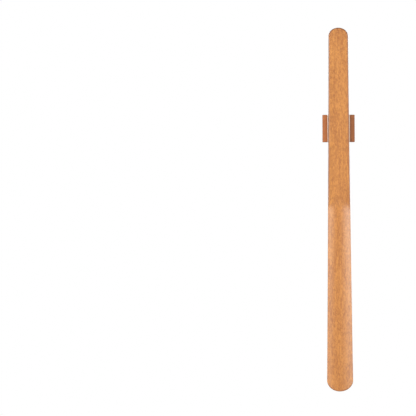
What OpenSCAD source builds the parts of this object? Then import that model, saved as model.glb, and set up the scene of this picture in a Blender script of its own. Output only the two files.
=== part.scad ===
// Long wooden shoehorn on a magnetic wall holder.
// Origin: centre of the holder's wall face. +Z up, the front faces -Y, the wall is at +Y.

/* [Shoehorn] */
// Overall length of the shoehorn
shoehorn_len = 600; // [560:10:700]
// Height of the shoehorn's top end above the middle of the holder
handle_rise = 166; // [120:2:180]
// Width of the handle just under its rounded top
handle_w = 32.2; // [28:0.2:32.4]
// Width that the taper reaches at the tip
blade_w = 43.4; // [38:0.2:44.4]
// How late the taper opens: 1 is a straight taper
taper_power = 1.3; // [1.2:0.1:2]
// Thickness of the handle
handle_t = 10; // [9:0.5:12]
// Height of the half ellipse that ends the handle
top_round_h = 13.7; // [8:0.1:20]
// Height of the half ellipse that ends the blade
tip_round_h = 19; // [12:0.5:24]
// Rounding of the long edges
edge_r = 2; // [0.5:0.1:2.5]

/* [Scoop] */
// Distance from the top end to the start of the hollow
scoop_start = 284; // [240:2:340]
// Length over which the hollow opens to its full width
scoop_runout = 19; // [12:1:30]
// Radius of the hollow at its start
scoop_r = 39; // [36:1:60]
// Radius of the hollow at the tip
scoop_tip_r = 75; // [60:1:120]
// Depth of the hollow at its start
scoop_depth = 4.6; // [3:0.1:5]
// Depth of the hollow at the tip
scoop_tip_depth = 3.4; // [2:0.1:4.5]
// Thickness left in the middle of the tip
tip_t = 2.6; // [2:0.1:4]
// How far the rounded back of the blade falls away at its long edges
back_crown = 3.8; // [2:0.1:4]

/* [Holder] */
// Overall width of the holder
holder_w = 52.9; // [52.8:0.1:60]
// Height of the holder
holder_h = 45; // [40:1:60]
// Thickness of each cheek
cheek_t = 8.1; // [6:0.1:8.1]
// Depth of the cheeks from the wall
cheek_depth = 21; // [20:0.5:24]
// Depth of the middle block from the wall
block_depth = 16; // [14:0.5:17]
// Chamfer on the cheeks' front edges
cheek_chamfer = 0.8; // [0.4:0.1:1.5]
// Sheet thickness of the steel liner
liner_t = 0.5; // [0.3:0.1:0.5]
// Thickness of the felt glued into the liner
felt_t = 0.3; // [0.2:0.1:0.3]
// Diameter of the dowels between cheeks and block
dowel_d = 4; // [3:0.5:5]
// Length of each dowel
dowel_len = 16; // [12:1:18]
// Height of the dowels above and below the middle
dowel_z = 10; // [8:0.5:14]
// Depth of the dowels' axes from the wall
dowel_depth = 8; // [6:0.5:10]

/* [Magnets and screws] */
// Diameter of the magnets
magnet_d = 10; // [8:0.5:10]
// Thickness of the magnets
magnet_t = 4; // [2:0.5:5]
// Height of the magnets' axes above and below the middle
magnet_z = 5.5; // [5.5:0.5:7]
// Height of the screws above and below the middle
screw_z = 16; // [14:0.5:17]
// Diameter of the screws' shank
screw_d = 4; // [3.5:0.5:4]
// Diameter of the screws' countersunk head
screw_head_d = 8; // [7:0.5:8]
// Length of the screws over the head
screw_len = 40; // [35:1:42]
// Diameter of the wall plugs
plug_d = 6; // [5:0.5:8]
// Length of the wall plugs
plug_len = 25; // [25:1:30]
// How far the plugs are set below the wall's surface
plug_set_back = 2.5; // [2.2:0.1:4]

/* [Hidden] */
$fn = 64;

// air left between the shoehorn and the felt, at the back
back_gap = 0.3;
// a cut that must break a surface runs past it by this much
past = 1;

top_z = handle_rise;
liner_face_y = -block_depth - liner_t;
handle_back_y = liner_face_y - felt_t - back_gap;
block_half_w = holder_w / 2 - cheek_t;

// The screw's head: a short rim, then a right-angled cone down to the shank.
head_rim_t = 0.3;
head_cone_t = (screw_head_d - screw_d) / 2;
// clearance of the screw hole in the block, on the radius
screw_hole_clear = 0.25;
// clearance of the felt round a screw's head, on the radius
felt_hole_clear = 0.5;
screw_point_len = 5;
screw_point_d = 0.6;
recess_w = 1.1;
recess_reach = 4.4;
recess_depth = 1.8;
plug_slit_w = 1;
plug_slit_start = 6;

// The blade's back leaves the handle's flat back this far above the hollow.
back_start = scoop_start - 20;
back_fall = handle_t - scoop_tip_depth - tip_t;
// share of the blade over which its back turns from flat to rounded
crown_share = 0.4;

// Half-width that the hollow would cut in the front face, at its start.
scoop_half_w = sqrt(pow(scoop_r, 2) - pow(scoop_r - scoop_depth, 2));

// Steps of the rings along the shoehorn and of the points around each ring.
end_steps = 8;
first_end_angle = 6;
handle_steps = 9;
runout_steps = 6;
first_runout_angle = 15;
blade_steps = 16;
front_steps = 8;
back_steps = 6;
corner_steps = 3;

function clamp01(v) = min(max(v, 0), 1);
function mix(a, b, share) = a + (b - a) * share;
function smooth(v) = pow(clamp01(v), 2) * (3 - 2 * clamp01(v));

// Each function of "down" takes the distance below the shoehorn's top end.
function taper_half_w(down) = mix(handle_w, blade_w, pow(down / shoehorn_len, taper_power)) / 2;
function below_scoop(down) = clamp01((down - scoop_start) / (shoehorn_len - scoop_start));
function hollow_r(down) = mix(scoop_r, scoop_tip_r, below_scoop(down));
function hollow_depth(down) = mix(scoop_depth, scoop_tip_depth, below_scoop(down));

// How much of the run-out is still to come: 1 at the hollow's start, 0 where it is fully open.
function runout_left(down) = clamp01(1 - (down - scoop_start) / scoop_runout);

// Depth of the hollow below the front face.
function hollow(x, down) =
    let (r = hollow_r(down), left = runout_left(down) * scoop_half_w)
    let (square = r * r - x * x - left * left)
    down <= scoop_start ? 0 : max(0, sqrt(max(square, 0)) - r + hollow_depth(down));

// Half-width of the hollow in the front face.
function hollow_half_w(down) =
    let (r = hollow_r(down))
    let (chord = sqrt(r * r - pow(r - hollow_depth(down), 2)))
    chord * sqrt(1 - pow(runout_left(down), 2));

// Position of the blade's back in front of the handle's back, at the middle and at the edges.
function back_rise(x, down) =
    let (along = clamp01((down - back_start) / (shoehorn_len - back_start)))
    let (crown = back_crown * smooth(along / crown_share))
    back_fall * smooth(along) + crown * pow(x / taper_half_w(down), 2);

// How far the faces draw in at a distance from the end, so that the end is rounded in profile.
function end_inset(from_end) =
    let (short = max(edge_r - from_end, 0))
    edge_r - sqrt(edge_r * edge_r - short * short);

// A ring is given by its distance below the top, its share of the taper's width, and its inset.
function top_rings() = [
    for (i = [0 : end_steps])
        let (angle = mix(first_end_angle, 90, i / end_steps))
        let (down = i == 0 ? 0 : top_round_h * (1 - cos(angle)))
        [down, sin(angle), end_inset(down)]
];
function handle_rings() = [
    for (i = [1 : handle_steps]) [mix(top_round_h, scoop_start, i / handle_steps), 1, 0]
];
function runout_rings() = [
    for (i = [0 : runout_steps])
        let (angle = mix(first_runout_angle, 90, i / runout_steps))
        [scoop_start + scoop_runout * (1 - cos(angle)), 1, 0]
];
function blade_rings() = [
    for (i = [1 : blade_steps - 1])
        [mix(scoop_start + scoop_runout, shoehorn_len - tip_round_h, i / blade_steps), 1, 0]
];
function tip_rings() = [
    for (i = [end_steps : -1 : 0])
        let (angle = mix(first_end_angle, 90, i / end_steps))
        let (from_end = i == 0 ? 0 : tip_round_h * (1 - cos(angle)))
        [shoehorn_len - from_end, sin(angle), end_inset(from_end) * tip_t / handle_t]
];

// One closed section of the shoehorn: along the front, round the right, along the back, round the left.
function section(ring) =
    let (down = ring[0], half_w = taper_half_w(ring[0]) * ring[1], inset = ring[2])
    let (front_y = handle_back_y - handle_t + inset, back_y = handle_back_y - inset)
    let (rim = handle_t - 2 * inset - hollow(half_w, down) - back_rise(half_w, down))
    let (corner_r = min(edge_r, 0.4 * rim, 0.6 * half_w))
    let (flat_half_w = half_w - corner_r)
    let (inner_half_w = down > scoop_start ? min(hollow_half_w(down), 0.97 * flat_half_w) : flat_half_w / 2)
    let (front_corner_y = front_y + hollow(flat_half_w, down) + corner_r)
    let (back_corner_y = back_y - back_rise(flat_half_w, down) - corner_r)
    let (z = top_z - down)
    concat(
        [for (i = [0 : front_steps])
            let (x = mix(-inner_half_w, inner_half_w, i / front_steps))
            [x, front_y + hollow(x, down), z]],
        [for (i = [0 : corner_steps])
            let (angle = mix(-90, 0, i / corner_steps))
            [flat_half_w + corner_r * cos(angle), front_corner_y + corner_r * sin(angle), z]],
        [for (i = [0 : corner_steps])
            let (angle = mix(0, 90, i / corner_steps))
            [flat_half_w + corner_r * cos(angle), back_corner_y + corner_r * sin(angle), z]],
        [for (i = [1 : back_steps - 1])
            let (x = mix(flat_half_w, -flat_half_w, i / back_steps))
            [x, back_y - back_rise(x, down), z]],
        [for (i = [0 : corner_steps])
            let (angle = mix(90, 180, i / corner_steps))
            [corner_r * cos(angle) - flat_half_w, back_corner_y + corner_r * sin(angle), z]],
        [for (i = [0 : corner_steps])
            let (angle = mix(180, 270, i / corner_steps))
            [corner_r * cos(angle) - flat_half_w, front_corner_y + corner_r * sin(angle), z]]
    );

// The middle of a section, from which its end cap is fanned out.
function middle(section) =
    let (heights = [for (point = section) point.y])
    [0, heights * [for (y = heights) 1] / len(heights), section[0].z];

// A closed skin over a list of sections that all have the same number of points.
module skin(sections) {
    count = len(sections[0]);
    last = len(sections) - 1;
    top_middle = len(sections) * count;
    tip_middle = top_middle + 1;
    points = concat(
        [for (ring = sections, point = ring) point],
        [middle(sections[0]), middle(sections[last])]
    );
    sides = [
        for (i = [0 : last - 1], j = [0 : count - 1])
            let (k = (j + 1) % count)
            let (a = i * count + j, b = i * count + k, c = b + count, d = a + count)
            each [[a, b, c], [a, c, d]]
    ];
    top_cap = [for (j = [0 : count - 1]) [(j + 1) % count, j, top_middle]];
    tip_cap = [for (j = [0 : count - 1]) [last * count + j, last * count + (j + 1) % count, tip_middle]];
    polyhedron(points, concat(sides, top_cap, tip_cap), 4);
}

// A cylinder along Y, from one depth to another.
module rod(d, from_y, to_y) {
    translate([0, from_y, 0]) rotate([-90, 0, 0]) cylinder(d = d, h = to_y - from_y);
}

// A cone along Y.
module taper_rod(from_d, to_d, from_y, to_y) {
    translate([0, from_y, 0]) rotate([-90, 0, 0]) cylinder(d1 = from_d, d2 = to_d, h = to_y - from_y);
}

module shoehorn() {
    rings = concat(top_rings(), handle_rings(), runout_rings(), blade_rings(), tip_rings());
    color([0.84, 0.57, 0.36])
    difference() {
        skin([for (ring = rings) section(ring)]);
        for (side = [-1, 1]) {
            translate([0, 0, side * magnet_z])
            rod(magnet_d, handle_back_y - magnet_t, handle_back_y + past);
        }
    }
}

module magnet(side) {
    color([0.74, 0.75, 0.77])
    translate([0, 0, side * magnet_z])
    rod(magnet_d, handle_back_y - magnet_t, handle_back_y);
}

// What a screw's head takes out of the parts that it sits in.
module head_seat() {
    rod(screw_head_d, liner_face_y - past, liner_face_y + head_rim_t);
    taper_rod(screw_head_d, screw_d, liner_face_y + head_rim_t, liner_face_y + head_rim_t + head_cone_t);
}

module holder_block() {
    color([0.58, 0.34, 0.21])
    difference() {
        translate([-block_half_w, -block_depth, -holder_h / 2])
        cube([2 * block_half_w, block_depth, holder_h]);
        for (side = [-1, 1]) {
            translate([0, 0, side * screw_z]) {
                rod(screw_d + 2 * screw_hole_clear, -block_depth - past, past);
                head_seat();
            }
            for (hand = [-1, 1]) dowel_solid(hand, side);
        }
    }
}

// A cheek stands beside the block, from the wall to the front, with its front edges chamfered.
module cheek(hand) {
    half_h = holder_h / 2;
    color([0.62, 0.36, 0.23])
    difference() {
        intersection() {
            translate([hand > 0 ? block_half_w : -block_half_w - cheek_t, 0, 0])
            rotate([90, 0, 90])
            linear_extrude(cheek_t)
            polygon([
                [0, -half_h],
                [0, half_h],
                [-cheek_depth + cheek_chamfer, half_h],
                [-cheek_depth, half_h - cheek_chamfer],
                [-cheek_depth, -half_h + cheek_chamfer],
                [-cheek_depth + cheek_chamfer, -half_h],
            ]);
            translate([0, 0, -half_h])
            linear_extrude(holder_h)
            polygon([
                [hand * block_half_w, 0],
                [hand * holder_w / 2, 0],
                [hand * holder_w / 2, -cheek_depth + cheek_chamfer],
                [hand * (holder_w / 2 - cheek_chamfer), -cheek_depth],
                [hand * block_half_w, -cheek_depth],
            ]);
        }
        for (side = [-1, 1]) dowel_solid(hand, side);
    }
}

// A channel as high as the holder, open at the front, that ends flush with the cheeks.
module channel(half_w, back_y, wall_t) {
    difference() {
        translate([-half_w, -cheek_depth, -holder_h / 2])
        cube([2 * half_w, cheek_depth + back_y, holder_h]);
        translate([-half_w + wall_t, -cheek_depth - past, -holder_h / 2 - past])
        cube([2 * (half_w - wall_t), cheek_depth + back_y - wall_t + past, holder_h + 2 * past]);
    }
}

// The liner is folded from steel sheet and lines the groove between the cheeks.
module steel_liner() {
    color([0.87, 0.87, 0.86])
    difference() {
        channel(block_half_w, -block_depth, liner_t);
        for (side = [-1, 1]) translate([0, 0, side * screw_z]) head_seat();
    }
}

// The felt covers the inside of the liner, with a hole over each screw's head.
module felt_lining() {
    color([0.87, 0.80, 0.73])
    difference() {
        channel(block_half_w - liner_t, liner_face_y, felt_t);
        for (side = [-1, 1]) {
            translate([0, 0, side * screw_z])
            rod(screw_head_d + 2 * felt_hole_clear, liner_face_y - felt_t - past, liner_face_y + past);
        }
    }
}

// A dowel crosses the joint between block and cheek, most of it in the block.
module dowel_solid(hand, side) {
    in_cheek = cheek_t - 2;
    inner_x = block_half_w + in_cheek - dowel_len;
    translate([hand > 0 ? inner_x : -inner_x - dowel_len, -dowel_depth, side * dowel_z])
    rotate([0, 90, 0])
    cylinder(d = dowel_d, h = dowel_len);
}

module dowel(hand, side) {
    color([0.80, 0.66, 0.47]) dowel_solid(hand, side);
}

module screw_solid() {
    head_end_y = liner_face_y + head_rim_t + head_cone_t;
    end_y = liner_face_y + screw_len;
    rod(screw_head_d, liner_face_y, liner_face_y + head_rim_t);
    taper_rod(screw_head_d, screw_d, liner_face_y + head_rim_t, head_end_y);
    rod(screw_d, head_end_y, end_y - screw_point_len);
    taper_rod(screw_d, screw_point_d, end_y - screw_point_len, end_y);
}

module screw(side) {
    color([0.78, 0.78, 0.79])
    translate([0, 0, side * screw_z])
    difference() {
        screw_solid();
        translate([-recess_reach / 2, liner_face_y - past, -recess_w / 2])
        cube([recess_reach, recess_depth + past, recess_w]);
        translate([-recess_w / 2, liner_face_y - past, -recess_reach / 2])
        cube([recess_w, recess_depth + past, recess_reach]);
    }
}

// A plug is a tube with a closed far end, slit upright so that the screw can spread it.
module wall_plug(side) {
    color([0.83, 0.83, 0.82])
    translate([0, 0, side * screw_z])
    difference() {
        rod(plug_d, plug_set_back, plug_set_back + plug_len);
        screw_solid();
        translate([-plug_slit_w / 2, plug_set_back + plug_slit_start, -plug_d])
        cube([plug_slit_w, plug_len, 2 * plug_d]);
    }
}

shoehorn();
magnet(1);  // upper_magnet
magnet(-1);  // lower_magnet
holder_block();
cheek(-1);  // left_cheek
cheek(1);  // right_cheek
steel_liner();
felt_lining();
dowel(-1, 1);  // left_upper_dowel
dowel(-1, -1);  // left_lower_dowel
dowel(1, 1);  // right_upper_dowel
dowel(1, -1);  // right_lower_dowel
screw(1);  // upper_screw
screw(-1);  // lower_screw
wall_plug(1);  // upper_wall_plug
wall_plug(-1);  // lower_wall_plug
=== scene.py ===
"""Looks of the long wooden shoehorn and its magnetic wall holder. Units are metres."""
import math

import bmesh
import bpy
from mathutils import Matrix, Vector


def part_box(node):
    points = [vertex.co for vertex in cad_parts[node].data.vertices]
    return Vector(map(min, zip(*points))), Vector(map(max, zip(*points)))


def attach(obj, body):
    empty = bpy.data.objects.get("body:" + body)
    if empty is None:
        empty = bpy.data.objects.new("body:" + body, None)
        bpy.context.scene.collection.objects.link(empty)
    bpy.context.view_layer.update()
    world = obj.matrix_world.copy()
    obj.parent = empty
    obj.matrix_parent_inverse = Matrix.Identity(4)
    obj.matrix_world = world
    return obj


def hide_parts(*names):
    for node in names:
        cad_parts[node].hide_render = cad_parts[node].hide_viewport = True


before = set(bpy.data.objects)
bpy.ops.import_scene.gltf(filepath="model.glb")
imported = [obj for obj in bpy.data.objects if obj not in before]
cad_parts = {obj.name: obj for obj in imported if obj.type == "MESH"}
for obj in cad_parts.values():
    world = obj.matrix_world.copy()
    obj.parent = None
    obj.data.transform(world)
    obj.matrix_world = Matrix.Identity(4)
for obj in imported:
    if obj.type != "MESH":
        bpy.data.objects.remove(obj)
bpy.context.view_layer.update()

MM = 0.001
OVERCUT = 1 * MM  # how far a cutter runs past the surface that it opens


# ---------------------------------------------------------------- places, from the frame
def middle(node):
    low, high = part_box(node)
    return (low + high) / 2


WOOD_LOW, WOOD_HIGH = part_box("shoehorn")
LENGTH = WOOD_HIGH.z - WOOD_LOW.z
TOP_Z = WOOD_HIGH.z
BACK_Y = WOOD_HIGH.y
HANDLE_T = WOOD_HIGH.y - WOOD_LOW.y
LINER_LOW, LINER_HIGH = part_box("steel_liner")

# ---------------------------------------------------------------- the shoehorn's shape
HANDLE_W = 32.2 * MM
BLADE_W = 43.4 * MM
TAPER_POWER = 1.3  # above 1 the taper opens late
TOP_ROUND_H = 13.7 * MM
TIP_ROUND_H = 19 * MM
EDGE_R = 2 * MM
END_EDGE_R = 2.6 * MM
BLADE_EDGE_R = 0.7 * MM
TIP_EDGE_R = 1.4 * MM
SCOOP_START = 284 * MM
SCOOP_RUNOUT = 19 * MM
SCOOP_R = 39 * MM
SCOOP_TIP_R = 75 * MM
SCOOP_DEPTH = 4.6 * MM
SCOOP_TIP_DEPTH = 3.4 * MM
TIP_T = 2.6 * MM
BACK_CROWN = 3.8 * MM
BACK_START = SCOOP_START - 20 * MM
CROWN_SHARE = 0.4  # share of the blade's back over which its crown grows
SCOOP_HALF_W = math.sqrt(SCOOP_R**2 - (SCOOP_R - SCOOP_DEPTH) ** 2)
LARGEST_EDGE = 0.48  # the largest share of the side's thickness that one rounded edge takes

# Sections along each stretch of the skin, and degrees between the points of its rounded stretches.
TOP_STEPS = 26
HANDLE_STEPS = 70
BLADE_STEPS = 90
TIP_STEPS = 30
RUNOUT_STEP_DEG = 3
EDGE_STEP_DEG = 10
HOLLOW_STEP_DEG = 9
FIRST_END_DEG = 1.5
END_CROWDING = 1.2  # above 1 the sections stand closest at the very end
WIDEST_RIM = 0.97  # the hollow's rim lies within this share of the flat face
GATHERED = 0.02  # how near the middle the front's inner points gather above the hollow, as a share


def clamp01(value):
    return min(max(value, 0.0), 1.0)


def mix(a, b, share):
    return a + (b - a) * share


def smooth(value):
    value = clamp01(value)
    return value * value * (3 - 2 * value)


# Each function of "down" takes the distance below the shoehorn's top end.
def taper_half_w(down):
    return mix(HANDLE_W, BLADE_W, (down / LENGTH) ** TAPER_POWER) / 2


def end_share(down):
    """The share of the taper's width that the rounded ends leave, and how far into an end it is, 0 to 1."""
    into_top = clamp01(1 - down / TOP_ROUND_H)
    into_tip = clamp01(1 - (LENGTH - down) / TIP_ROUND_H)
    into = max(into_top, into_tip)
    return math.sqrt(1 - into * into), into


def below_scoop(down):
    return clamp01((down - SCOOP_START) / (LENGTH - SCOOP_START))


def hollow(x, down):
    """Depth of the blade's hollow below the front face."""
    if down <= SCOOP_START:
        return 0.0
    radius = mix(SCOOP_R, SCOOP_TIP_R, below_scoop(down))
    depth = mix(SCOOP_DEPTH, SCOOP_TIP_DEPTH, below_scoop(down))
    left = clamp01(1 - (down - SCOOP_START) / SCOOP_RUNOUT) * SCOOP_HALF_W
    return max(0.0, math.sqrt(max(radius**2 - x * x - left * left, 0)) - radius + depth)


def hollow_half_w(down):
    """Half-width of the hollow in the front face."""
    radius = mix(SCOOP_R, SCOOP_TIP_R, below_scoop(down))
    depth = mix(SCOOP_DEPTH, SCOOP_TIP_DEPTH, below_scoop(down))
    left = clamp01(1 - (down - SCOOP_START) / SCOOP_RUNOUT)
    return math.sqrt(radius**2 - (radius - depth) ** 2) * math.sqrt(1 - left * left)


def back_rise(x, down):
    """How far the blade's back lies in front of the handle's flat back."""
    along = clamp01((down - BACK_START) / (LENGTH - BACK_START))
    crown = BACK_CROWN * smooth(along / CROWN_SHARE)
    fall = HANDLE_T - SCOOP_TIP_DEPTH - TIP_T
    return fall * smooth(along) + crown * (x / taper_half_w(down)) ** 2


def from_outline(x, down):
    """Distance of a point of the front view from the shoehorn's outline."""
    half_w = taper_half_w(down)
    _, into = end_share(down)
    if into == 0:
        return half_w - abs(x)
    height = TOP_ROUND_H if down < LENGTH / 2 else TIP_ROUND_H
    reach = math.hypot(x / half_w, into)
    steepness = math.hypot(x / half_w**2, into / height) / reach
    return max(0.0, (1 - reach) / steepness)


def edge_radius(down):
    """Radius of the rounded front edges: largest at the handle's end, fine along the hollow."""
    near_top = smooth(1 - down / (2 * TOP_ROUND_H))
    near_tip = smooth(1 - (LENGTH - down) / TIP_ROUND_H)
    handle = mix(EDGE_R, END_EDGE_R, near_top)
    return mix(handle, mix(BLADE_EDGE_R, TIP_EDGE_R, near_tip), smooth((down - SCOOP_START) / SCOOP_RUNOUT))


def back_edge_radius(down):
    """Radius of the rounded back edges."""
    thin = smooth((down - SCOOP_START) / (LENGTH - SCOOP_START))
    return mix(max(edge_radius(down), EDGE_R), TIP_EDGE_R, thin)


def edge_drop(x, down, radius):
    """How far a face draws back where it rounds over into the side."""
    short = max(radius - from_outline(x, down), 0.0)
    return radius - math.sqrt(max(radius * radius - short * short, 0.0))


def end_angles(steps):
    """Angles from nearly nothing to a right angle, closest together at the start."""
    return [math.radians(mix(FIRST_END_DEG, 90, (i / steps) ** END_CROWDING)) for i in range(steps + 1)]


def stations():
    """Distances below the top end at which the skin has a section."""
    top = [TOP_ROUND_H * (1 - math.cos(a)) for a in end_angles(TOP_STEPS)]
    handle = [mix(TOP_ROUND_H, SCOOP_START, i / HANDLE_STEPS) for i in range(1, HANDLE_STEPS + 1)]
    runout_angles = [math.radians(a) for a in range(2 * RUNOUT_STEP_DEG, 91, RUNOUT_STEP_DEG)]
    runout = [SCOOP_START + SCOOP_RUNOUT * (1 - math.cos(a)) for a in runout_angles]
    blade_from, blade_to = SCOOP_START + SCOOP_RUNOUT, LENGTH - TIP_ROUND_H
    blade = [mix(blade_from, blade_to, i / BLADE_STEPS) for i in range(1, BLADE_STEPS)]
    tip = [LENGTH - TIP_ROUND_H * (1 - math.cos(a)) for a in reversed(end_angles(TIP_STEPS))]
    return top + handle + runout + blade + tip


def across(down, radius, on_front):
    """Positions across one face, from the left edge to the right, closest together at the rounded edges.
    On the front one of them follows the hollow's rim through its run-out."""
    half_w = taper_half_w(down) * end_share(down)[0]
    band = min(radius, 0.5 * half_w)
    edge = [half_w - band * (1 - math.cos(math.radians(a))) for a in range(0, 91, EDGE_STEP_DEG)]
    flat = edge[-1]
    inner = flat * WIDEST_RIM
    if on_front and down > SCOOP_START:
        inner = min(hollow_half_w(down), inner)
    elif on_front:
        # The rows gather above the hollow's start, where the face is flat, so that none is skewed there.
        inner *= mix(1, GATHERED, smooth(1 - (SCOOP_START - down) / (2 * SCOOP_RUNOUT)))
    right = [inner * math.sin(math.radians(a)) for a in range(0, 91, HOLLOW_STEP_DEG)]
    beyond = [mix(inner, flat, share) for share in (0.25, 0.5, 0.75)]
    positive = right[1:] + beyond + edge[::-1]
    return [-x for x in reversed(positive)] + [0.0] + positive


def shoehorn_mesh():
    """A closed skin: at each station a ring runs along the front, and back along the back."""
    verts, faces = [], []
    rings = stations()
    for down in rings:
        z = TOP_Z - down
        edge_x = taper_half_w(down) * end_share(down)[0]
        side = HANDLE_T - hollow(edge_x, down) - back_rise(edge_x, down)
        front_r = min(edge_radius(down), LARGEST_EDGE * side)
        back_r = min(back_edge_radius(down), LARGEST_EDGE * side)
        for x in across(down, front_r, True):
            verts.append((x, BACK_Y - HANDLE_T + hollow(x, down) + edge_drop(x, down, front_r), z))
        for x in reversed(across(down, back_r, False)):
            verts.append((x, BACK_Y - back_rise(x, down) - edge_drop(x, down, back_r), z))
    count = len(verts) // len(rings)
    for i in range(len(rings) - 1):
        for j in range(count):
            k = (j + 1) % count
            a, b = i * count + j, i * count + k
            faces.append((a, a + count, b + count, b))
    faces.append(tuple(range(count)))
    last = (len(rings) - 1) * count
    faces.append(tuple(last + j for j in reversed(range(count))))
    return verts, faces


# ---------------------------------------------------------------- material tools
NOISE_LOW, NOISE_HIGH = 0.3, 0.7  # most values of a noise lie between these
MIX_SHARE, MIX_FIRST, MIX_SECOND, MIX_RESULT = 0, 6, 7, 2  # a Mix node's sockets for colours


def linear(red, green, blue):
    """A colour given as 0 to 255 screen values (sRGB), as the linear values that shaders take."""
    def one(value):
        value /= 255
        return value / 12.92 if value <= 0.04045 else ((value + 0.055) / 1.055) ** 2.4
    return (one(red), one(green), one(blue), 1.0)


class Nodes:
    """Short words for building a material's node tree."""

    def __init__(self, name):
        self.material = bpy.data.materials.new(name)
        self.material.use_nodes = True
        self.tree = self.material.node_tree
        self.tree.nodes.clear()
        self.shader = self.add("ShaderNodeBsdfPrincipled")
        out = self.add("ShaderNodeOutputMaterial")
        self.link(self.shader.outputs["BSDF"], out.inputs["Surface"])

    def add(self, kind, **settings):
        node = self.tree.nodes.new(kind)
        for key, value in settings.items():
            setattr(node, key, value)
        return node

    def link(self, output, socket):
        self.tree.links.new(output, socket)

    def coordinates(self, scale, shift=(0, 0, 0)):
        """Object coordinates, scaled per metre."""
        where = self.add("ShaderNodeTexCoord")
        mapping = self.add("ShaderNodeMapping")
        mapping.inputs["Scale"].default_value = scale
        mapping.inputs["Location"].default_value = shift
        self.link(where.outputs["Object"], mapping.inputs["Vector"])
        return mapping.outputs["Vector"]

    def noise(self, vector, detail=3.0, roughness=0.55, distortion=0.0):
        node = self.add("ShaderNodeTexNoise")
        node.inputs["Scale"].default_value = 1.0
        node.inputs["Detail"].default_value = detail
        node.inputs["Roughness"].default_value = roughness
        node.inputs["Distortion"].default_value = distortion
        self.link(vector, node.inputs["Vector"])
        return node.outputs["Fac"]

    def ramp(self, value, stops):
        """A colour ramp. stops are (position, colour) pairs."""
        node = self.add("ShaderNodeValToRGB")
        elements = node.color_ramp.elements
        while len(elements) < len(stops):
            elements.new(0.5)
        for element, (position, colour) in zip(elements, stops):
            element.position = position
            element.color = colour
        self.link(value, node.inputs["Fac"])
        return node.outputs["Color"]

    def rescale(self, value, low, high, to_low, to_high):
        """The value with low to high mapped to to_low to to_high."""
        node = self.add("ShaderNodeMapRange")
        for key, number in zip(("From Min", "From Max", "To Min", "To Max"), (low, high, to_low, to_high)):
            node.inputs[key].default_value = number
        self.link(value, node.inputs["Value"])
        return node.outputs["Result"]

    def calculate(self, operation, a, b):
        node = self.add("ShaderNodeMath", operation=operation)
        for value, socket in zip((a, b), node.inputs):
            if isinstance(value, (int, float)):
                socket.default_value = value
            else:
                self.link(value, socket)
        return node.outputs["Value"]

    def blend(self, share, first, second):
        """Two colours mixed. Each of the three is a plain value or another node's output."""
        node = self.add("ShaderNodeMix", data_type="RGBA")
        for value, index in ((share, MIX_SHARE), (first, MIX_FIRST), (second, MIX_SECOND)):
            if isinstance(value, bpy.types.NodeSocket):
                self.link(value, node.inputs[index])
            else:
                node.inputs[index].default_value = value
        return node.outputs[MIX_RESULT]

    def bump(self, height, distance, strength=1.0):
        node = self.add("ShaderNodeBump")
        node.inputs["Strength"].default_value = strength
        node.inputs["Distance"].default_value = distance
        self.link(height, node.inputs["Height"])
        self.link(node.outputs["Normal"], self.shader.inputs["Normal"])

    def attribute(self, name):
        return self.add("ShaderNodeAttribute", attribute_name=name).outputs["Fac"]

    def base_colour(self, noise, at_low, at_high):
        """Base colour that goes from one colour to the other with a noise."""
        colour = self.ramp(noise, [(NOISE_LOW, at_low), (NOISE_HIGH, at_high)])
        self.link(colour, self.shader.inputs["Base Color"])

    def roughness(self, noise, at_low, at_high):
        """Roughness that goes from one value to the other with a noise."""
        value = self.rescale(noise, NOISE_LOW, NOISE_HIGH, at_low, at_high)
        self.link(value, self.shader.inputs["Roughness"])


# Noise layers of wood: scale per metre across the fibres, scale along them, and the noise's settings.
GRAIN_LAYERS = {
    "slow": (45, 16, {"detail": 2, "distortion": 0.4}),
    "streaks": (420, 40, {"detail": 3, "distortion": 0.3}),
    "fibres": (1300, 45, {"detail": 3, "roughness": 0.6}),
    "figure": (540, 250, {"detail": 3, "roughness": 0.6, "distortion": 0.5}),
    "mottle": (250, 170, {"detail": 3, "roughness": 0.6, "distortion": 0.6}),
    "flecks": (520, 210, {"detail": 2}),
}
# The layers that make up the tone, with their weights.
TONE_WEIGHTS = {"slow": 0.15, "streaks": 0.2, "fibres": 0.1, "figure": 0.33, "mottle": 0.22}
TONE_HALF = 0.16  # at contrast 1 the tone goes from deep to pale this far either side of its middle
GRAIN_HEIGHT = 0.05 * MM


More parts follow.
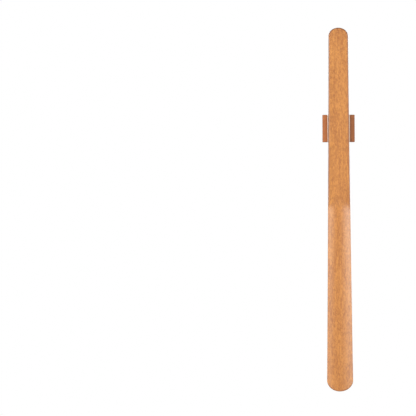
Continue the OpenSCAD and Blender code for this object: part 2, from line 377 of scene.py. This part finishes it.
def wood(
    name, pale, deep, fleck, rim,
    gloss=0.36, sheen=0.8, coat=0.0, contrast=1.0, end_dark=0.0, shift=(0, 0, 0), along="Z",
):
    """Oiled close-grained wood: soft growth bands, fine fibres along one axis, short dark flecks. A point's
    "rim" value darkens it as painted shade of the rounded edges, and a surface that cuts across the fibres
    is darker, as end grain is."""
    n = Nodes(name)
    layers = {}
    for layer, (across_scale, along_scale, settings) in GRAIN_LAYERS.items():
        scale = tuple(along_scale if axis == along else across_scale for axis in "XYZ")
        layers[layer] = n.noise(n.coordinates(scale, shift), **settings)
    tone = 0.0
    for layer, weight in TONE_WEIGHTS.items():
        tone = n.calculate("ADD", tone, n.calculate("MULTIPLY", layers[layer], weight))
    half = TONE_HALF / contrast
    colour = n.ramp(tone, [(0.5 - half, deep), (0.5 + half, pale)])
    flecked = n.rescale(layers["flecks"], low=0.6, high=0.75, to_low=0.0, to_high=0.6)
    colour = n.blend(flecked, colour, fleck)
    # Painted shade: the rim attribute darkens the rounded edges towards the rim colour.
    painted_edge_shade = n.rescale(n.attribute("rim"), low=0.0, high=0.8, to_low=0.0, to_high=0.8)
    colour = n.blend(painted_edge_shade, colour, rim)
    if end_dark:
        where = n.add("ShaderNodeTexCoord")
        facing = n.add("ShaderNodeSeparateXYZ")
        n.link(where.outputs["Normal"], facing.inputs["Vector"])
        across_fibres = n.calculate("ABSOLUTE", facing.outputs[along], 0.0)
        end_grain = n.rescale(across_fibres, low=0.3, high=0.9, to_low=0.0, to_high=end_dark)
        colour = n.blend(end_grain, colour, rim)
    n.link(colour, n.shader.inputs["Base Color"])
    n.roughness(layers["fibres"], gloss + 0.05, gloss - 0.04)
    n.shader.inputs["Specular IOR Level"].default_value = sheen
    n.shader.inputs["Coat Weight"].default_value = coat
    n.shader.inputs["Coat Roughness"].default_value = gloss - 0.03
    fine = n.calculate("MULTIPLY", layers["fibres"], 0.6)
    coarse = n.calculate("MULTIPLY", layers["streaks"], 0.4)
    n.bump(n.calculate("ADD", fine, coarse), GRAIN_HEIGHT, 0.6)
    return n.material


def powder_coat():
    """Warm white powder coat on steel sheet, with its fine orange-peel surface."""
    n = Nodes("powder_coat")
    peel = n.noise(n.coordinates((900, 900, 900)), detail=2)
    cloud = n.noise(n.coordinates((45, 45, 30)), detail=3)
    n.base_colour(cloud, linear(240, 238, 232), linear(250, 248, 243))
    n.roughness(peel, 0.38, 0.5)
    n.bump(peel, 0.03 * MM, 0.5)
    return n.material


def wool_felt():
    """Cream felt: matted fibres, with a soft sheen from the ones that stand out."""
    n = Nodes("wool_felt")
    matted = n.noise(n.coordinates((2600, 2600, 2600)), detail=4, roughness=0.7, distortion=1.5)
    cloud = n.noise(n.coordinates((170, 170, 170)), detail=2)
    n.base_colour(cloud, linear(216, 198, 178), linear(230, 213, 195))
    n.roughness(matted, 0.85, 0.98)
    n.shader.inputs["Sheen Weight"].default_value = 0.4
    n.shader.inputs["Sheen Roughness"].default_value = 0.5
    n.bump(matted, 0.08 * MM, 0.5)
    return n.material


PLATING_MARKS = 0.8  # brightness of the marks on plated metal, as a share of the metal's own


def plated(name, colour, roughness, scale):
    """Plated metal with faint clouds and handling marks."""
    n = Nodes(name)
    cloud = n.noise(n.coordinates((scale, scale, scale)), detail=4, roughness=0.6)
    darker = tuple(PLATING_MARKS * c for c in colour[:3]) + (1,)
    n.base_colour(cloud, darker, colour)
    n.shader.inputs["Metallic"].default_value = 1.0
    n.roughness(cloud, roughness + 0.08, roughness)
    n.bump(cloud, 0.01 * MM, 0.4)
    return n.material


def nylon():
    """Moulded grey-white nylon."""
    n = Nodes("nylon")
    grain = n.noise(n.coordinates((1500, 1500, 1500)), detail=3)
    tint = n.noise(n.coordinates((150, 150, 150)), detail=2)
    n.base_colour(tint, linear(196, 196, 192), linear(212, 212, 209))
    n.roughness(grain, 0.42, 0.55)
    n.shader.inputs["Subsurface Weight"].default_value = 0.1
    n.shader.inputs["Subsurface Radius"].default_value = (2 * MM, 2 * MM, 2 * MM)
    n.bump(grain, 0.02 * MM, 0.4)
    return n.material


# ---------------------------------------------------------------- mesh tools
ROUND_STEPS = 64  # points round a turned solid
MOSTLY = 0.5  # an edge runs along an axis if its direction has more than this much of it


def place(name, data):
    """An object in the scene for a mesh, a light or a camera."""
    placed = bpy.data.objects.new(name, data)
    bpy.context.scene.collection.objects.link(placed)
    return placed


def finish_piece(name, mesh, body, nodes, material, smooth_angle=35):
    """Makes a shown object of a mesh, shades it, and says what it stands for."""
    mesh.materials.append(material)
    piece = place(name, mesh)
    mesh.shade_smooth()
    mesh.set_sharp_from_angle(angle=math.radians(smooth_angle))
    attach(piece, body)
    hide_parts(*nodes)
    return piece


def mesh_of(bm, name):
    bmesh.ops.recalc_face_normals(bm, faces=bm.faces)
    mesh = bpy.data.meshes.new(name)
    bm.to_mesh(mesh)
    bm.free()
    return mesh


def bar(low, high, bevel, segments=4, chosen=lambda middle, direction: True):
    """A box with rounded edges. chosen says, from an edge's middle and direction, whether it is rounded."""
    bm = bmesh.new()
    bmesh.ops.create_cube(bm, size=1.0)
    size, centre = high - low, (high + low) / 2
    bmesh.ops.transform(bm, matrix=Matrix.LocRotScale(centre, None, size), verts=bm.verts)
    edges = []
    for edge in bm.edges:
        a, b = (v.co for v in edge.verts)
        if chosen((a + b) / 2 - centre, (b - a).normalized()):
            edges.append(edge)
    bmesh.ops.bevel(bm, geom=edges, offset=bevel, segments=segments, profile=0.5, affect="EDGES")
    return bm


def full_turn(steps):
    return [2 * math.pi * i / steps for i in range(steps)]


def quarter_turn(steps):
    return [math.radians(90 * i / steps) for i in range(steps + 1)]


def bridge(bm, rings):
    """Faces from each ring of vertices to the next. A ring may be a single vertex."""
    steps = max(len(ring) for ring in rings)
    for ring, following in zip(rings, rings[1:]):
        for i in range(steps):
            j = (i + 1) % steps
            around = ((ring, i), (ring, j), (following, j), (following, i))
            corners = [verts[k % len(verts)] for verts, k in around]
            bm.faces.new(list(dict.fromkeys(corners)))


def lathe(profile, steps=ROUND_STEPS):
    """A solid of revolution about +Y. profile is a list of (y, radius); a radius of 0 closes an end."""
    bm = bmesh.new()
    rings = []
    for y, radius in profile:
        if radius == 0:
            rings.append([bm.verts.new((0, y, 0))])
        else:
            circle = [(radius * math.cos(t), y, radius * math.sin(t)) for t in full_turn(steps)]
            rings.append([bm.verts.new(point) for point in circle])
    bridge(bm, rings)
    return bm


def on_middle_plane(node):
    """The point of the middle plane at a node's height."""
    return Vector((0, 0, middle(node).z))


def moved_to(mesh, centre):
    """Moves a mesh that was made about the Y axis to the x and z of a centre."""
    mesh.transform(Matrix.Translation((centre.x, 0, centre.z)))
    return mesh


def turned_cutter(centre, profile, steps=ROUND_STEPS):
    """A cutter turned about the axis along Y through a centre."""
    return moved_to(mesh_of(lathe(profile, steps), "cutter"), centre)


def rod_cutter(centre, radius, from_y, to_y, steps=ROUND_STEPS):
    return turned_cutter(centre, [(from_y, 0), (from_y, radius), (to_y, radius), (to_y, 0)], steps)


def cut(mesh, cutters):
    """The mesh with each cutter's volume taken out."""
    target = place("cut_target", mesh)
    tools = []
    for cutter in cutters:
        tool = place("cut_tool", cutter)
        modifier = target.modifiers.new("cut", "BOOLEAN")
        modifier.operation = "DIFFERENCE"
        modifier.solver = "EXACT"
        modifier.object = tool
        tools.append(tool)
    graph = bpy.context.evaluated_depsgraph_get()
    result = bpy.data.meshes.new_from_object(target.evaluated_get(graph))
    for obj in [target, *tools]:
        bpy.data.objects.remove(obj)
    return result


# ---------------------------------------------------------------- camera, lights, floor
FRAME_SHARE = 0.8749  # share of the picture's height that the shoehorn takes
RIGHT_OF_MIDDLE = 0.3154  # how far right of the middle its own middle lies, as a share of the width
BELOW_MIDDLE = 0.0056  # how far below the middle it lies, as a share of the height
LEAN_DEG = 0.31  # the picture's lean, made by rolling the camera
CAMERA_DISTANCE = 8.0
SENSOR = 36.0
FLOOR_R = 1.5
FLOOR_DROP = 0.13  # below the shoehorn's tip
FADE_FROM, FADE_TO = 0.45, 0.98  # where the floor fades out, as shares of its radius
FLOOR_GREY = (0.93, 0.93, 0.92, 1)
SURROUNDING_LIGHT = 0.14

# Soft lights: name, azimuth and elevation in degrees, distance, width and height in metres, radiance.
SOFTBOXES = [
    ("key", -43, 5, 1.7, 0.7, 1.6, 5.7),
    ("near_key", -22, 5, 1.7, 0.4, 1.6, 2.9),
    ("fill", 54, 5, 1.7, 0.9, 1.6, 4.1),
    ("near_fill", 30, 5, 1.7, 0.4, 1.6, 2.6),
    ("over", 0, 50, 1.7, 1.0, 0.5, 3.6),
    ("under", 0, -45, 1.7, 1.0, 0.5, 4.2),
    ("front", 0, 5, 2.2, 1.2, 1.2, 0.5),
    ("back_left", -140, 10, 1.7, 0.6, 1.4, 5.5),
    ("back_right", 150, 10, 1.7, 0.6, 1.4, 5.5),
]


def add_camera():
    height = LENGTH / FRAME_SHARE
    aim = Vector((0, BACK_Y - HANDLE_T, TOP_Z - LENGTH / 2))
    aim += height * Vector((-RIGHT_OF_MIDDLE, 0, BELOW_MIDDLE))
    data = bpy.data.cameras.new("camera")
    data.sensor_width = SENSOR
    data.lens = SENSOR * CAMERA_DISTANCE / height
    data.clip_start, data.clip_end = 0.1, 100
    camera = place("camera", data)
    camera.location = aim - Vector((0, CAMERA_DISTANCE, 0))
    camera.rotation_euler = (math.pi / 2, math.radians(LEAN_DEG), 0)
    bpy.context.scene.camera = camera


def softbox(name, azimuth, elevation, distance, width, height, radiance):
    """A rectangular soft light. Azimuth 0 is at the camera's side and grows to the right."""
    target = Vector((0, BACK_Y, TOP_Z - LENGTH / 2))
    a, e = math.radians(azimuth), math.radians(elevation)
    away = Vector((math.sin(a) * math.cos(e), -math.cos(a) * math.cos(e), math.sin(e)))
    data = bpy.data.lights.new(name, "AREA")
    data.shape = "RECTANGLE"
    data.size, data.size_y = width, height
    data.energy = radiance * math.pi * width * height
    light = place(name, data)
    light.location = target + away * distance
    light.rotation_euler = away.to_track_quat("Z", "Y").to_euler()


def white_surroundings(light_strength):
    """White to the eye, and a soft even light."""
    world = bpy.data.worlds.new("surroundings")
    bpy.context.scene.world = world
    world.use_nodes = True
    tree = world.node_tree
    tree.nodes.clear()
    path = tree.nodes.new("ShaderNodeLightPath")
    seen = tree.nodes.new("ShaderNodeBackground")
    lit = tree.nodes.new("ShaderNodeBackground")
    either = tree.nodes.new("ShaderNodeMixShader")
    out = tree.nodes.new("ShaderNodeOutputWorld")
    for node in (seen, lit):
        node.inputs["Color"].default_value = (1, 1, 1, 1)
    lit.inputs["Strength"].default_value = light_strength
    tree.links.new(path.outputs["Is Camera Ray"], either.inputs["Fac"])
    tree.links.new(lit.outputs[0], either.inputs[1])
    tree.links.new(seen.outputs[0], either.inputs[2])
    tree.links.new(either.outputs[0], out.inputs["Surface"])


def pale_floor():
    """A pale disc under the hanging shoehorn that fades out into the white."""
    bm = bmesh.new()
    bmesh.ops.create_circle(bm, cap_ends=True, radius=FLOOR_R, segments=96)
    mesh = mesh_of(bm, "floor")
    n = Nodes("pale_floor")
    n.shader.inputs["Base Color"].default_value = FLOOR_GREY
    n.shader.inputs["Roughness"].default_value = 0.8
    distance = n.add("ShaderNodeVectorMath", operation="LENGTH")
    n.link(n.add("ShaderNodeTexCoord").outputs["Object"], distance.inputs[0])
    fade_from, fade_to = FADE_FROM * FLOOR_R, FADE_TO * FLOOR_R
    fade = n.rescale(distance.outputs["Value"], fade_from, fade_to, to_low=1.0, to_high=0.0)
    n.link(fade, n.shader.inputs["Alpha"])
    mesh.materials.append(n.material)
    floor = place("floor", mesh)
    floor.location = (0, 0, WOOD_LOW.z - FLOOR_DROP)


add_camera()
for settings in SOFTBOXES:
    softbox(*settings)
white_surroundings(SURROUNDING_LIGHT)
pale_floor()
bpy.context.scene.view_settings.view_transform = "Standard"

# ---------------------------------------------------------------- materials
# The fourth colour is painted shade, which darkens the shoehorn's rounded edges.
pear = wood(
    "pear_wood", linear(189, 125, 55), linear(152, 90, 32), linear(137, 76, 29), linear(133, 73, 25),
    sheen=0.5, coat=0.65, contrast=2.2,
)


def smoked_wood(name, shift, depth=1.0):
    """The holder's dark wood. depth below 1 darkens its tones as painted shade, for a piece that lies in
    shadow.
    """
    tones = [(174, 103, 50), (146, 79, 37), (109, 60, 28), (89, 49, 24)]
    colours = [linear(*(depth * value for value in tone)) for tone in tones]
    return wood(name, *colours, gloss=0.5, sheen=0.4, shift=shift, contrast=1.3, end_dark=0.8)


smoked = {
    "holder_block": smoked_wood("smoked_block", (3.1, 1.7, 0.4)),
    "left_cheek": smoked_wood("smoked_left", (5.3, 2.9, 1.1)),
    # The right cheek's darker tones are painted shade of the handle's shadow from the key light.
    "right_cheek": smoked_wood("smoked_right_painted_shade", (7.7, 0.6, 2.3), depth=0.81),
}
beech = wood(
    "beech_dowel", linear(222, 190, 146), linear(204, 168, 122), linear(176, 138, 96), linear(190, 150, 108),
    gloss=0.55, shift=(1.3, 4.1, 2.2), along="X", end_dark=0.7,
)
coated = powder_coat()
felted = wool_felt()
nickel = plated("nickel", (0.72, 0.72, 0.74, 1), 0.22, 900)
zinc = plated("zinc", (0.74, 0.74, 0.76, 1), 0.3, 1200)
plug_nylon = nylon()

# ---------------------------------------------------------------- the shoehorn
MAGNETS = ("upper_magnet", "lower_magnet")
MAGNET_LOW, MAGNET_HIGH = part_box(MAGNETS[0])
MAGNET_R = (MAGNET_HIGH.x - MAGNET_LOW.x) / 2

POCKET_STEPS = 96
EDGE_SHADE_BAND = 3 * MM  # width of the band of painted shade along the edges


def edge_shade_value(vertex):
    """How much painted shade darkens a point: 1 on the edges of the handle and of the tip, 0 away from them
    and along the blade's sides.
    """
    down = min(max(TOP_Z - vertex.co.z, 0.0), LENGTH)
    on_blade = smooth((down - SCOOP_START) / SCOOP_RUNOUT) * smooth((LENGTH - down) / TIP_ROUND_H)
    return smooth(1 - from_outline(vertex.co.x, down) / EDGE_SHADE_BAND) * (1 - on_blade)


def carved_shoehorn():
    """The skin with its two magnet pockets and the rim values that place its painted edge shade."""
    verts, faces = shoehorn_mesh()
    mesh = bpy.data.meshes.new("shoehorn_wood")
    mesh.from_pydata(verts, [], faces)
    mouth_y = BACK_Y + OVERCUT
    pockets = [rod_cutter(middle(node), MAGNET_R, MAGNET_LOW.y, mouth_y, POCKET_STEPS) for node in MAGNETS]
    mesh = cut(mesh, pockets)
    edge_shade_values = [edge_shade_value(vertex) for vertex in mesh.vertices]
    mesh.attributes.new("rim", "FLOAT", "POINT").data.foreach_set("value", edge_shade_values)
    return mesh


finish_piece(
    "shoehorn_wood", carved_shoehorn(), "shoehorn", ["shoehorn"], pear, smooth_angle=50
)

# ---------------------------------------------------------------- the magnets
MAGNET_EDGE = 0.35 * MM


def rounded_disc(from_y, to_y, radius, edge, steps=5):
    """Profile of a disc with rounded rims, for the lathe."""
    arc = quarter_turn(steps)
    near = [(from_y + edge * (1 - math.sin(t)), radius - edge * (1 - math.cos(t))) for t in reversed(arc)]
    far = [(to_y - edge * (1 - math.sin(t)), radius - edge * (1 - math.cos(t))) for t in arc]
    return [(from_y, 0)] + near + far + [(to_y, 0)]


for node in MAGNETS:
    disc = mesh_of(lathe(rounded_disc(MAGNET_LOW.y, MAGNET_HIGH.y, MAGNET_R, MAGNET_EDGE)), node)
    disc = moved_to(disc, on_middle_plane(node))
    finish_piece(node + "_disc", disc, "shoehorn", [node], nickel)

# ---------------------------------------------------------------- the wall holder
BLOCK_LOW, BLOCK_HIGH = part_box("holder_block")
SCREWS = ("upper_screw", "lower_screw")
SCREW_LOW, SCREW_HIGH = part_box(SCREWS[0])
HEAD_R = (SCREW_HIGH.x - SCREW_LOW.x) / 2
SHANK_R = 2 * MM
HEAD_RIM = 0.3 * MM
HEAD_CONE = HEAD_R - SHANK_R
HOLE_CLEAR = 0.25 * MM
DOWELS = ("left_upper_dowel", "left_lower_dowel", "right_upper_dowel", "right_lower_dowel")
DOWEL_LOW, DOWEL_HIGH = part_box(DOWELS[0])
DOWEL_R = (DOWEL_HIGH.z - DOWEL_LOW.z) / 2


def seat_cutter(node, hole_r):
    """What a screw needs cut away: its hole and the seat of its countersunk head."""
    rim_y = SCREW_LOW.y + HEAD_RIM
    start, end = SCREW_LOW.y - OVERCUT, BLOCK_HIGH.y + OVERCUT
    profile = [
        (start, 0), (start, HEAD_R), (rim_y, HEAD_R),
        (rim_y + HEAD_R - hole_r, hole_r), (end, hole_r), (end, 0),
    ]
    return turned_cutter(on_middle_plane(node), profile)


def dowel_bm(node, radius, flutes=0, flute_depth=0.0, chamfer=0.0, steps=ROUND_STEPS):
    """A rod along X in the place of a dowel, with shallow flutes and chamfered ends."""
    low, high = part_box(node)
    centre = (low + high) / 2
    stops = [(low.x, radius), (high.x, radius)]
    if chamfer:
        end_r = radius - chamfer
        stops = [(low.x, end_r), (low.x + chamfer, radius), (high.x - chamfer, radius), (high.x, end_r)]
    bm = bmesh.new()
    rings = []
    for x, stop_r in stops:
        ring = []
        for turn in full_turn(steps):
            r = stop_r - flute_depth * max(0.0, math.cos(flutes * turn)) ** 2
            ring.append(bm.verts.new((x, centre.y + r * math.cos(turn), centre.z + r * math.sin(turn))))
        rings.append(ring)
    bridge(bm, rings)
    bm.faces.new(rings[0])
    bm.faces.new(rings[-1])
    return bm


CHEEK_EDGE = 0.8 * MM
BLOCK_EDGE = 0.35 * MM
DOWEL_FLUTES = 16
FLUTE_DEPTH = 0.12 * MM
DOWEL_CHAMFER = 0.5 * MM
FLUTED_STEPS = 8 * DOWEL_FLUTES


def along_x(_, direction):
    return abs(direction.x) > MOSTLY


def drilled_block():
    block = mesh_of(bar(BLOCK_LOW, BLOCK_HIGH, BLOCK_EDGE, chosen=along_x), "block")
    cutters = [seat_cutter(node, SHANK_R + HOLE_CLEAR) for node in SCREWS]
    cutters += [mesh_of(dowel_bm(node, DOWEL_R), "cutter") for node in DOWELS]
    return cut(block, cutters)


def drilled_cheek(node, hand):
    """A cheek on the left (hand -1) or right (1). Its edges against the liner and on the wall stay sharp."""
    def rounded(at, direction):
        off_wall = at.y < 0 or abs(direction.y) > MOSTLY
        off_liner = hand * at.x > 0 or abs(direction.x) > MOSTLY
        return off_wall and off_liner

    low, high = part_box(node)
    cheek = mesh_of(bar(low, high, CHEEK_EDGE, segments=5, chosen=rounded), node)
    side = node.split("_")[0]
    return cut(cheek, [mesh_of(dowel_bm(d, DOWEL_R), "cutter") for d in DOWELS if d.startswith(side)])


finish_piece(
    "holder_block_wood", drilled_block(), "holder", ["holder_block"], smoked["holder_block"]
)
for hand, node in ((-1, "left_cheek"), (1, "right_cheek")):
    finish_piece(node + "_wood", drilled_cheek(node, hand), "holder", [node], smoked[node])

for node in DOWELS:
    bm = dowel_bm(node, DOWEL_R, DOWEL_FLUTES, FLUTE_DEPTH, DOWEL_CHAMFER, FLUTED_STEPS)
    finish_piece(node + "_rod", mesh_of(bm, node), "holder", [node], beech)

# ---------------------------------------------------------------- the steel liner and its felt
LINER_T = BLOCK_LOW.y - SCREW_LOW.y
LINER_BEND_R = 1.3 * MM
SHEET_EDGE = 0.12 * MM
FELT_LOW, FELT_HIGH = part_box("felt_lining")
FELT_HOLE_CLEAR = 0.5 * MM
NAP_GAP = 0.06 * MM  # between the nap and the handle, where the nap stands highest
NAP_STEP = 0.9 * MM
NAP_EDGE = 0.05 * MM
NAP_WAVE = 0.05 * MM  # how far the nap's surface waves either way
NAP_RIPPLES = ((1900, 0), (4700, 1))  # radians per metre and starting angle of the waves


def channel_outline(low, high, inner_w, inner_back, bend_r, edge, steps=6):
    """A folded channel seen from above, as a closed outline: its outside, then its inside."""
    arc = quarter_turn(steps)
    half_w, back, front = high.x, high.y, low.y

    def corner(x, y, radius, to_x, to_y):
        """A rounded corner at (x, y), from its upright side to its level side."""
        return [(x + to_x * radius * (1 - math.cos(t)), y + to_y * radius * (1 - math.sin(t))) for t in arc]

    lip = corner(inner_w, front, edge, 1, 1) + corner(half_w, front, edge, -1, 1)[::-1]
    bend = corner(half_w, back, bend_r, -1, -1)
    inside = corner(inner_w, inner_back, max(bend_r - (half_w - inner_w), edge), -1, -1)
    right = lip + bend
    return right + [(-x, y) for x, y in reversed(right)] + [(-x, y) for x, y in inside] + inside[::-1]


def channel_mesh(outlines, heights, edge, name):
    """A closed channel through one outline at each height, with its two ends' edges rounded."""
    bm = bmesh.new()
    rings = [[bm.verts.new((x, y, z)) for x, y in outline] for outline, z in zip(outlines, heights)]
    bridge(bm, rings)
    ends = [bm.faces.new(rings[0]), bm.faces.new(rings[-1])]
    edges = [e for face in ends for e in face.edges]
    bmesh.ops.bevel(bm, geom=edges, offset=edge, segments=2, profile=0.5, affect="EDGES")
    return mesh_of(bm, name)


sheet = channel_outline(
    LINER_LOW, LINER_HIGH, LINER_HIGH.x - LINER_T, LINER_HIGH.y - LINER_T, LINER_BEND_R, SHEET_EDGE
)
liner = channel_mesh([sheet, sheet], [LINER_LOW.z, LINER_HIGH.z], SHEET_EDGE, "liner")
liner = cut(liner, [seat_cutter(node, SHANK_R) for node in SCREWS])
finish_piece("steel_liner_sheet", liner, "holder", ["steel_liner"], coated)


def felt_mesh():
    """The felt's nap fills the groove up to the handle's edges, which it follows unevenly."""
    count = round((FELT_HIGH.z - FELT_LOW.z) / NAP_STEP)
    heights = [mix(FELT_LOW.z, FELT_HIGH.z, i / count) for i in range(count + 1)]
    bend_r = LINER_BEND_R - LINER_T
    outlines = []
    for z in heights:
        wave = NAP_WAVE * sum(math.sin(rate * z + start) for rate, start in NAP_RIPPLES) / 2
        inner_w = taper_half_w(TOP_Z - z) + NAP_GAP + NAP_WAVE + wave
        outlines.append(channel_outline(FELT_LOW, FELT_HIGH, inner_w, BACK_Y + NAP_GAP, bend_r, NAP_EDGE))
    felt = channel_mesh(outlines, heights, NAP_EDGE, "felt")
    hole_r = HEAD_R + FELT_HOLE_CLEAR
    centres = [on_middle_plane(node) for node in SCREWS]
    return cut(felt, [rod_cutter(centre, hole_r, BACK_Y - OVERCUT, BLOCK_LOW.y) for centre in centres])


finish_piece(
    "felt_lining_nap", felt_mesh(), "holder", ["felt_lining"], felted, smooth_angle=50
)

# ---------------------------------------------------------------- screws and wall plugs
SCREW_END = SCREW_HIGH.y
SCREW_FRONT = SCREW_LOW.y
PLAIN_R = 0.94 * SHANK_R  # the plain part of the shank, a little thinner than the nominal size
CORE_R = 1.35 * MM
CREST_R = 1.97 * MM
THREAD_PITCH = 1.8 * MM
RIDGE_HALF = 0.32  # half-width of the thread's ridge, as a share of the pitch
POINT_LEN = 5 * MM
POINT_R = 0.15 * MM
THREAD_START = SCREW_FRONT + 12 * MM
HEAD_BEVEL = 0.15 * MM
HEAD_BEVEL_DEPTH = 0.1 * MM
CROSS_REACH = 4.4 * MM
CROSS_W = 1.1 * MM
CROSS_DEPTH = 1.8 * MM
CROSS_FLOOR_REACH = 0.45  # share of the reach that is left at the recess's floor
CROSS_FLOOR_W = 0.6  # share of the width that is left there
CROSS_OVERCUT = 0.01 * MM
PLUG_LOW, PLUG_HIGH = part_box("upper_wall_plug")
PLUG_R = (PLUG_HIGH.x - PLUG_LOW.x) / 2
PLUG_SLIT_W = 1 * MM
PLUG_SLIT_START = 6 * MM
PLUG_SLIT_BEVEL = 0.1 * MM
# The plug's nose: distance from the far end, and radius there as a share of the plug's.
PLUG_NOSE = ((0, 0.55), (0.6 * MM, 0.75), (2.5 * MM, 0.93))
PLUG_FINS_END = 3.5 * MM  # from the far end
PLUG_FIN_PITCH = 2 * MM
PLUG_FIN_H = 0.4 * MM
PLUG_FIN_FLAT = 0.3 * MM
PLUG_FIN_BACK = 0.4 * MM
PLUG_RIM = 0.3 * MM
PLUG_BORE_END_R = 0.3 * MM
PLUG_BORE_TIP = 0.2 * MM


def screw_radius(y, turn):
    """Radius of the screw's shank at a depth and a turn angle, thread included."""
    if y < THREAD_START:
        return PLAIN_R
    thin = clamp01((SCREW_END - y) / POINT_LEN)
    phase = (y / THREAD_PITCH - turn / (2 * math.pi)) % 1
    ridge = clamp01(1 - abs(phase - 0.5) / RIDGE_HALF)
    fade_in = clamp01((y - THREAD_START) / THREAD_PITCH)
    core = mix(PLAIN_R, CORE_R, fade_in)
    crest = mix(core, CREST_R, fade_in)
    return max(mix(core, crest, ridge) * thin, POINT_R)


def screw_mesh(steps=36, rings_per_pitch=12):
    bm = bmesh.new()
    turns = full_turn(steps)

    def ring(y, radii):
        return [bm.verts.new((r * math.cos(t), y, r * math.sin(t))) for r, t in zip(radii, turns)]

    rim_y = SCREW_FRONT + HEAD_RIM
    head = [(SCREW_FRONT, HEAD_R - HEAD_BEVEL), (SCREW_FRONT + HEAD_BEVEL_DEPTH, HEAD_R), (rim_y, HEAD_R)]
    rings = [ring(y, [radius] * steps) for y, radius in head]
    neck_y = rim_y + HEAD_CONE
    count = int((SCREW_END - neck_y) / THREAD_PITCH * rings_per_pitch)
    for i in range(count + 1):
        y = mix(neck_y, SCREW_END, i / count)
        rings.append(ring(y, [screw_radius(y, turn) for turn in turns]))
    bridge(bm, rings)
    bm.faces.new(rings[0])
    bm.faces.new(rings[-1])
    return mesh_of(bm, "screw")


def cross_cutters():
    """Two tapered blades that press the cross recess into a head."""
    tools = []
    for reaches_along_x in (True, False):
        bm = bmesh.new()
        bmesh.ops.create_cube(bm, size=1.0)
        for vertex in bm.verts:
            reach, width = CROSS_REACH, CROSS_W
            y = SCREW_FRONT - CROSS_OVERCUT
            if vertex.co.y > 0:
                reach *= CROSS_FLOOR_REACH
                width *= CROSS_FLOOR_W
                y = SCREW_FRONT + CROSS_DEPTH
            x_size, z_size = (reach, width) if reaches_along_x else (width, reach)
            vertex.co = (vertex.co.x * x_size, y, vertex.co.z * z_size)
        tools.append(mesh_of(bm, "cutter"))
    return tools


def plug_mesh():
    """A ribbed tube with a rounded far end and a bore shaped by its screw, slit upright."""
    front, back = PLUG_LOW.y, PLUG_HIGH.y
    sleeve_end = front + PLUG_SLIT_START - 1 * MM
    profile = [(back, 0)]
    profile += [(back - distance, PLUG_R * share) for distance, share in PLUG_NOSE]
    y = back - PLUG_FINS_END
    while y > front + PLUG_SLIT_START:
        profile += [(y, PLUG_R), (y - PLUG_FIN_FLAT, PLUG_R), (y - PLUG_FIN_BACK, PLUG_R - PLUG_FIN_H)]
        y -= PLUG_FIN_PITCH
    profile += [(sleeve_end, PLUG_R), (front + PLUG_RIM, PLUG_R), (front, PLUG_R - PLUG_RIM)]
    profile += [(front, SHANK_R + PLUG_RIM), (front + PLUG_RIM, SHANK_R)]
    profile += [(SCREW_END - POINT_LEN, SHANK_R), (SCREW_END, PLUG_BORE_END_R)]
    profile += [(SCREW_END + PLUG_BORE_TIP, 0)]
    tube = mesh_of(lathe(profile), "plug")
    slit_low = Vector((-PLUG_SLIT_W / 2, front + PLUG_SLIT_START, -2 * PLUG_R))
    slit_high = Vector((PLUG_SLIT_W / 2, back + OVERCUT, 2 * PLUG_R))
    return cut(tube, [mesh_of(bar(slit_low, slit_high, PLUG_SLIT_BEVEL, segments=1), "cutter")])


for node in SCREWS:
    mesh = moved_to(cut(screw_mesh(), cross_cutters()), on_middle_plane(node))
    finish_piece(node + "_zinc", mesh, "holder", [node], zinc)
for node in ("upper_wall_plug", "lower_wall_plug"):
    mesh = moved_to(plug_mesh(), on_middle_plane(node))
    finish_piece(node + "_nylon", mesh, "holder", [node], plug_nylon)
